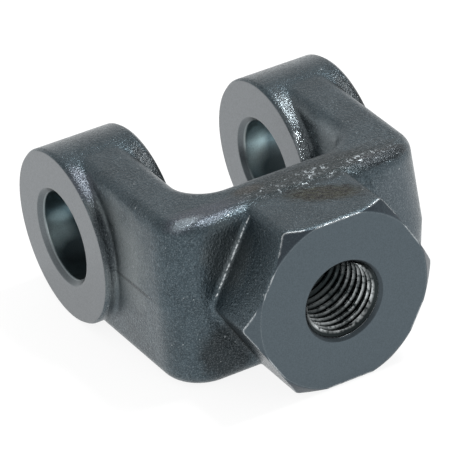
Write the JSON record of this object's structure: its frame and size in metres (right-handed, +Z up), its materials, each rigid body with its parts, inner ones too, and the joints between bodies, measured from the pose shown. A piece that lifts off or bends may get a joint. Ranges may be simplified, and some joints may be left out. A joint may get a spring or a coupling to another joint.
{
  "type": "clevis rod end",
  "caption": "Forged steel clevis: two bored ears on a U-shaped yoke, with a hexagonal hub tapped for a rod.",
  "frame": {"origin": "on the pin bore's axis, midway between the two ears, level with the forging's parting plane", "axes": "+X along the rod's axis towards the hub's threaded face, +Y along the pin's axis, +Z up"},
  "size_m": [0.0508, 0.0444, 0.0254],
  "materials": {
    "black_oxide_steel": "black oxide over forged steel, with smooth faced ends, hub face and bores"
  },
  "bodies": {
    "root": {"clevis_body": "black_oxide_steel"}
  },
  "joints": []
}
